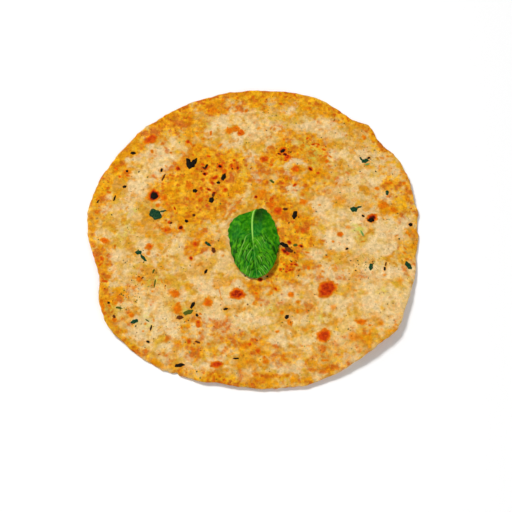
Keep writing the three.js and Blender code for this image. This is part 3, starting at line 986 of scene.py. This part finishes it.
def leaf_lift(x, y):
    """How far the leaf's lower face stands above the bread, without its fine relief."""
    along, across = place_on_leaf(x, y)
    outward = np.clip(np.abs(across), 0, 1)
    lengthwise = np.sin(math.pi * np.clip(along, 0, 1))
    rib = LEAF_RIB_RISE * (0.45 + 0.55 * lengthwise) * (1 - outward**2)
    puff = LEAF_PUFF * np.sin(math.pi * outward) * (0.35 + 0.65 * lengthwise)
    tip = LEAF_TIP_LIFT * smooth((along - 0.25) / 0.6) * smooth(0.4 + across)
    curl = LEAF_CURL * bell((along - 0.1) / 0.2) * smooth(across / 0.4)
    return LEAF_GAP + rib + puff + tip + curl


def leaf_marks(along, across, x, y):
    """Share of vein, height of the quilting, and shares of crease and of painted shade at each point."""
    outward = np.abs(across)
    fade = 1 - smooth((along - 0.3) / 0.3)
    midrib = bell(across / (0.016 + 0.016 * fade)) * (0.4 + 0.6 * fade)
    slant = LEAF_VEIN_SLANT[0] + LEAF_VEIN_SLANT[1] * along
    step = LEAF_VEINS * along - slant * outward + 0.35 * (across > 0) + 0.3 * soft_noise(x, y, 5, seed=61)
    off_vein = np.abs(step - np.round(step))
    veins = bell(off_vein / 0.09) * smooth(12 * outward) * smooth(1.2 - outward)
    wrinkled = 0.3 + 0.7 * smooth((along - 0.25) / 0.35)
    ridges = soft_noise(step, 2.4 * outward + 9 * (across > 0), 0.3, seed=62)
    puckers = soft_noise(x, y, 1.7, seed=63)
    # Crease lines, which sink the blade and are darkened as painted shade
    crease = bell((ridges + 0.5 * puckers) / 0.22) * wrinkled
    puff = np.sin(math.pi * np.clip(off_vein * 2, 0, 1) / 2) ** 0.7
    quilt = puff * smooth(6 * outward) * (0.4 + 0.6 * wrinkled) - LEAF_CREASE * crease
    # Painted shade on the lobe that curls up right of the stalk, and unevenly along the lower half's margins
    shade = bell((along - 0.08) / 0.16) * smooth(across / 0.12) * (1 - smooth((across - 0.3) / 0.5))
    uneven = 0.6 + 0.4 * soft_noise(x, y, 3, seed=65)
    shade = np.maximum(shade, 0.7 * uneven * smooth((outward - 0.66) / 0.3) * smooth((along - 0.45) / 0.2))
    # One left vein is pale all along: a painted highlight over the veins' own paleness
    highlit_vein = (np.round(step) == LEAF_HIGHLIT_VEIN) & (across < 0)
    paleness = np.where(highlit_vein, 1, 0.75 * smooth(0.4 + 1.3 * soft_noise(x, y, 4, seed=64)))
    return np.maximum(midrib, paleness * veins * wrinkled), quilt, crease, shade


def leaf_shell():
    """The mint leaf: a grid from the left margin over the midrib to the right margin, with both faces."""
    left = spline([LEAF_STALK, *LEAF_LEFT_SIDE, LEAF_TIP], LEAF_ROWS)
    right = spline([LEAF_STALK, *LEAF_RIGHT_SIDE, LEAF_TIP], LEAF_ROWS)
    share = np.linspace(0, 1, LEAF_ROWS)[:, None]
    rib = np.hstack([rib_line(share), mix(LEAF_STALK[1], LEAF_TIP[1], share)])
    across = np.linspace(-1, 1, LEAF_COLUMNS + 1)[None, :, None]
    side = np.where(across < 0, left[:, None, :], right[:, None, :])
    teeth = np.abs(np.sin(math.pi * LEAF_TEETH * share))[:, :, None]
    tooth = 1 + LEAF_TOOTH / LEAF_HALF_BREADTH * teeth * across**8
    grid = rib[:, None, :] + (side - rib[:, None, :]) * np.abs(across) * tooth
    x, y = grid[..., 0], grid[..., 1]
    along, outward = place_on_leaf(x, y)
    veins, quilt, crease, shade = leaf_marks(along, outward, x, y)
    under = leaf_lift(x, y) + LEAF_QUILT * quilt * (1 - across[..., 0] ** 6)
    blade = LEAF_THICKNESS * (1 - 0.5 * across[..., 0] ** 8)
    thick = blade + LEAF_RIB_THICKNESS * bell(outward / 0.03) * (1 - along)
    shell = Shell()
    marks = [mark.ravel() for mark in (veins, quilt, crease, shade)]
    top = shell.add(x.ravel(), y.ravel(), 1, (under + thick).ravel(), marks).reshape(x.shape)
    low = shell.add(x.ravel(), y.ravel(), 1, under.ravel(), marks).reshape(x.shape)
    for row in range(LEAF_ROWS - 1):
        for column in range(LEAF_COLUMNS):
            corners = (row, column), (row + 1, column), (row + 1, column + 1), (row, column + 1)
            shell.faces.append(tuple(top[corner] for corner in corners))
            shell.faces.append(tuple(low[corner] for corner in reversed(corners)))

    def margin(face):
        return [*face[:-1, 0], *face[-1, :-1], *face[:0:-1, -1], *face[0, :0:-1]]

    shell.zip(margin(top), margin(low))
    return shell


# Materials


class Shader:
    """A material in the making, whose nodes read as expressions."""

    def __init__(self, name):
        self.material = bpy.data.materials.new(name)
        self.material.use_nodes = True
        self.tree = self.material.node_tree
        self.surface = self.tree.nodes["Principled BSDF"]
        self.place = self.add("TexCoord").outputs["Object"]

    def add(self, kind, inputs=(), **settings):
        """Adds a node with its settings and its inputs, by their names or numbers."""
        node = self.tree.nodes.new("ShaderNode" + kind)
        for key, value in settings.items():
            setattr(node, key, value)
        for key, value in dict(inputs).items():
            self.feed(node.inputs[key], value)
        return node

    def feed(self, socket, value):
        """Gives a socket a value, or joins it to the output that makes one."""
        if isinstance(value, bpy.types.NodeSocket):
            self.tree.links.new(value, socket)
        else:
            socket.default_value = value

    def dress(self, **inputs):
        """Sets inputs of the surface, whose names are written with underscores."""
        for name, value in inputs.items():
            self.feed(self.surface.inputs[name.replace("_", " ")], value)

    def calculate(self, operation, *values):
        return self.add("Math", enumerate(values), operation=operation).outputs[0]

    plus = partialmethod(calculate, "ADD")
    minus = partialmethod(calculate, "SUBTRACT")
    times = partialmethod(calculate, "MULTIPLY")

    def between(self, value, low, high):
        """0 where the value is under low, 1 where it is over high, and a soft step in between."""
        inputs = {"Value": value, "From Min": low, "From Max": high}
        return self.add("MapRange", inputs, interpolation_type="SMOOTHSTEP").outputs["Result"]

    def blend(self, share, below, above, mode="MIX"):
        """One colour laid over another, as strongly as the share says."""
        lower_colour, upper_colour = 6, 7
        inputs = {"Factor": share, lower_colour: below, upper_colour: above}
        return self.add("Mix", inputs, data_type="RGBA", blend_type=mode).outputs[2]

    def moved(self, place, step):
        return self.add("VectorMath", {0: place, 1: step}, operation="ADD").outputs[0]

    def noise_node(self, size, detail, roughness, shift):
        place = self.moved(self.place, (shift, shift, 0))
        inputs = {"Vector": place, "Scale": 1 / (size * MM), "Detail": detail, "Roughness": roughness}
        return self.add("TexNoise", inputs, noise_dimensions="3D")

    def noise(self, size, detail=2, roughness=0.5, shift=0):
        """Noise from about 0.2 to 0.8 in lumps of the size given, in millimetres."""
        return self.noise_node(size, detail, roughness, shift).outputs["Fac"]

    def dots(self, spacing, size, shift=0, uneven=0):
        """Small dots at random places, and a random number for each. Uneven is how far their edges stray."""
        stray = self.moved(self.noise_node(0.6 * size, 2, 0.6, shift).outputs["Color"], (-0.5, -0.5, -0.5))
        scaled = self.add("VectorMath", {0: stray, "Scale": 2 * uneven * MM}, operation="SCALE")
        place = self.moved(self.moved(self.place, (shift, shift, 0)), scaled.outputs[0])
        node = self.add("TexVoronoi", {"Vector": place, "Scale": 1 / (spacing * MM)}, feature="F1")
        pick = self.add("SeparateColor", {0: node.outputs["Color"]})
        radius = self.times(pick.outputs[0], size / spacing)
        near = self.minus(radius, node.outputs["Distance"])
        return self.between(near, 0, 0.14), pick.outputs[1]

    def ramp(self, value, *stops):
        """The colour that belongs to a value, between stops that each have a position and a colour."""
        node = self.add("ValToRGB", {"Fac": value})
        elements = node.color_ramp.elements
        while len(elements) < len(stops):
            elements.new(0.5)
        for element, (position, colour) in zip(elements, stops):
            element.position = position
            element.color = colour
        return node.outputs["Color"]

    def marks(self):
        """The four marks of each vertex."""
        layer = self.add("Attribute", attribute_name="marks")
        split = self.add("SeparateColor", {0: layer.outputs["Color"]})
        return [*split.outputs[:3], layer.outputs["Alpha"]]

    def bump(self, height, depth):
        """Fine relief of the depth given, in millimetres."""
        node = self.add("Bump", {"Height": height, "Distance": depth * MM})
        self.dress(Normal=node.outputs["Normal"])


def bread_material():
    """Baked dough: cream with tan mottling, fried golden in patches, with scorched spots and fine specks."""
    shader = Shader("baked_dough")
    scorched, fried, pale, green = shader.marks()
    noise, between, blend, times = shader.noise, shader.between, shader.blend, shader.times
    mottle = noise(7, roughness=0.55)
    cloud = noise(24, shift=0.3)
    grain = noise(0.9, detail=3, roughness=0.65)
    fine = noise(2.6, detail=3, roughness=0.56, shift=0.1)
    fleck = noise(2, shift=1.3)
    broad = noise(12, roughness=0.6, shift=2.1)
    lumps = noise(5, detail=3, roughness=0.55, shift=0.2)

    # Plain dough, mottled from tan to cream, with pinkish and yellow clouds
    dough = shader.ramp(mottle, (0.38, TAN), (0.45, CREAM), (0.52, LIGHT), (0.6, PINKISH))
    dough = blend(times(between(cloud, 0.42, 0.66), 0.6), dough, PINKISH)
    yellow = between(noise(5.6, shift=0.9), 0.48, 0.6)
    dough = blend(times(yellow, 0.82), dough, YELLOW)

    # Broad tan and floury areas and a dusky tinge. Pale patches are less tan and more floury
    golden = times(between(broad, 0.51, 0.64), shader.minus(0.75, pale))
    dough = blend(golden, dough, TAN)
    pale_share = times(pale, between(mottle, 0.3, 0.6))
    dough = blend(times(pale_share, 0.8), dough, FLOURY)
    dough = blend(times(between(broad, 0.49, 0.38), 0.82), dough, FLOURY)
    tanned = shader.minus(0.66, times(pale, 0.45))
    dough = blend(times(tanned, 0.32), dough, DUSKY)

    # Fried gold with a broken edge, golden blotches, and herb that shows dimly through the dough
    gold = shader.ramp(lumps, (0.38, AMBER), (0.49, GOLD), (0.6, HONEY))
    broken = shader.plus(times(fine, 1.2), times(lumps, -1.6))
    browned = shader.plus(fried, shader.plus(broken, 0.2))
    dough = blend(times(between(browned, 0.12, 0.8), 0.94), dough, gold)
    blotch = between(noise(7.5, roughness=0.6, shift=0.7), 0.54, 0.65)
    gilded = shader.minus(0.85, times(pale, 0.6))
    dough = blend(times(blotch, gilded), dough, GOLD)
    greenish = times(green, between(fine, 0.42, 0.62))
    dough = blend(greenish, dough, PALE_HERB)

    # Scorched spots, darker the hotter they were, with uneven edges
    edge = shader.minus(noise(1.8, detail=3, shift=0.5), 0.5)
    heat = shader.plus(scorched, times(times(edge, scorched), 0.8))
    stops = (0.16, GOLD), (0.38, TOASTED), (0.56, ORANGE), (0.7, RUST), (0.84, BURNT), (0.96, CHAR)
    crust = shader.ramp(times(heat, 0.8), *stops)
    colour = blend(between(heat, 0.04, 0.5), dough, crust)

    # Fine specks all over, and burnt ones in the fried patches
    specks, pick = shader.dots(2.6, 0.7, uneven=0.3)
    speck_colour = shader.ramp(pick, (0.2, SPECK_BROWN), (0.5, SPECK_OLIVE), (0.8, SPECK_DARK))
    colour = blend(times(specks, 0.6), colour, speck_colour)
    burns, _ = shader.dots(3.2, 1.6, shift=0.4, uneven=1.1)
    burn_share = times(burns, between(fried, 0.4, 0.8))
    colour = blend(times(burn_share, 0.6), colour, RUST)

    # Grain of three sizes, each darker in its hollows and brighter on its lumps
    # Grain and fine also make the bump: with them this is painted shade in hollows and painted light on
    # lumps
    for texture, dark, bright in (grain, 0.88, 1.08), (fine, 0.8, 1.2), (fleck, 0.88, 1.1):
        hollow, lump = (dark, dark, dark * 0.96, 1), (bright, bright, bright, 1)
        shade = shader.ramp(texture, (0.28, hollow), (0.7, lump))
        colour = blend(1, colour, shade, mode="MULTIPLY")
    shader.dress(Base_Color=colour, Specular_IOR_Level=0.05, Roughness=0.5)
    shader.dress(Subsurface_Weight=0.08, Subsurface_Radius=(1, 0.7, 0.4), Subsurface_Scale=1.2 * MM)
    shader.bump(shader.plus(grain, times(fine, 1.5)), 0.7)
    return shader.material


def herb_material(name):
    """Chopped leaf that dried on the pan, in the tint that its first mark tells."""
    shader = Shader(name)
    tint, outward, *_ = shader.marks()
    last = len(HERB_COLOURS) - 1
    colours = [(number / last, colour) for number, colour in enumerate(HERB_COLOURS)]
    highlight_per_tint = [(number / last, (share, share, share, 1)) for number, share in enumerate(HERB_HIGHLIGHT_STRENGTH)]
    crease = shader.noise(0.8, detail=3, roughness=0.6)
    # Painted highlight: each tint turns lighter, as strongly as its share, where the creased relief rises
    highlight_share = shader.times(shader.between(crease, 0.48, 0.66), shader.ramp(tint, *highlight_per_tint))
    colour = shader.blend(highlight_share, shader.ramp(tint, *colours), HERB_HIGHLIGHT_COLOUR)
    colour = shader.blend(shader.times(shader.between(outward, 0.8, 1), 0.15), colour, HERB_RIM)
    shader.dress(Base_Color=colour, Specular_IOR_Level=0.04, Roughness=0.5)
    shader.bump(crease, 0.25)
    return shader.material


def leaf_material():
    """Fresh mint: deep green, paler veins, a yellower middle and a satin face, with painted shade and light.
    """
    shader = Shader("mint_green")
    veins, quilt, crease, shade = shader.marks()
    mottle = shader.noise(3.6, detail=3, roughness=0.6)
    green = shader.ramp(mottle, (0.34, LEAF_DEEP), (0.5, LEAF_MIDDLE), (0.66, LEAF_BRIGHT))
    cool = shader.between(shader.noise(8, shift=0.6), 0.48, 0.62)
    green = shader.blend(shader.times(cool, 0.6), green, LEAF_COOL)
    # Painted light on the blade where it puffs up between the veins
    green = shader.blend(shader.times(shader.between(quilt, 0.45, 0.85), 0.4), green, LEAF_BRIGHT)
    # Painted shade in the creases
    green = shader.blend(shader.times(crease, 0.9), green, LEAF_SHADE_GREEN)
    # Painted shade on the curled lobe and along the lower margins
    green = shader.blend(shader.times(shade, 0.9), green, LEAF_SHADE_GREEN)
    green = shader.blend(shader.between(veins, 0.1, 0.9), green, LEAF_VEIN)
    shader.dress(Base_Color=green, Specular_IOR_Level=0.05, Roughness=0.5)
    shader.dress(Subsurface_Weight=0.1, Subsurface_Radius=(0.4, 1, 0.2), Subsurface_Scale=MM)
    shader.bump(shader.noise(0.7), 0.12)
    return shader.material


# Pieces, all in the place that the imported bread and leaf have


def outline_shift():
    """From the bread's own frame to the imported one, whose origin is the middle of the bread's box."""
    low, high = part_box("bread")
    x, y = bread_outline(EDGE_POINTS)
    out = 1 + EDGE_ROUNDING / np.hypot(x, y)
    middle = [((axis * out).max() + (axis * out).min()) / 2 for axis in (x, y)]
    return [(low[k] + high[k]) / 2 / MM - middle[k] for k in range(2)]


def make_pieces():
    """The bread and the leaf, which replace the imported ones, and the herbs."""
    bread = bread_shell().make("bread_crust", bread_material(), "bread", bread_marks)
    leaf = leaf_shell().make("mint_leaf_top", leaf_material(), "leaf")
    herb_scraps().make("herb_scraps", herb_material("dried_herb"), "bread")
    herb_bits().make("herb_bits", herb_material("herb_crumb"), "bread")
    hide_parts("bread")
    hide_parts("mint_leaf")


# Floor, light and camera


def make_floor():
    bpy.ops.mesh.primitive_plane_add(size=FLOOR_WIDTH, location=(0, 0, -FLOOR_GAP * MM))
    floor = bpy.context.object
    floor.name = "floor"
    shader = Shader("pale_floor")
    shader.dress(Base_Color=FLOOR_COLOUR, Roughness=0.8)
    floor.data.materials.append(shader.material)


def make_lamp(name, place, width, watts):
    """A square lamp that shines at the bread."""
    lamp = bpy.data.lights.new(name, "AREA")
    lamp.size = width
    lamp.energy = watts
    holder = new_object(name, lamp)
    holder.location = place
    holder.rotation_euler = (-holder.location).to_track_quat("-Z", "Y").to_euler()


def make_sky():
    world = bpy.data.worlds.new("studio")
    world.use_nodes = True
    background = world.node_tree.nodes["Background"]
    background.inputs["Color"].default_value = (1, 1, 1, 1)
    background.inputs["Strength"].default_value = SKY_STRENGTH
    bpy.context.scene.world = world


def make_camera():
    elevation = math.radians(CAMERA_ELEVATION)
    lens = bpy.data.cameras.new("camera")
    lens.sensor_width = SENSOR_WIDTH
    lens.lens = SENSOR_WIDTH * CAMERA_DISTANCE / CAMERA_SPAN
    camera = new_object("camera", lens)
    x, y, z = CAMERA_TARGET
    back = CAMERA_DISTANCE * math.cos(elevation)
    up = CAMERA_DISTANCE * math.sin(elevation)
    camera.location = (x * MM, (y - back) * MM, (z + up) * MM)
    camera.rotation_euler = (math.pi / 2 - elevation, 0, 0)
    bpy.context.scene.camera = camera


SHIFT = outline_shift()
make_camera()
make_pieces()
make_floor()
make_sky()
for lamp in LAMPS:
    make_lamp(*lamp)
bpy.context.scene.view_settings.view_transform = "Standard"
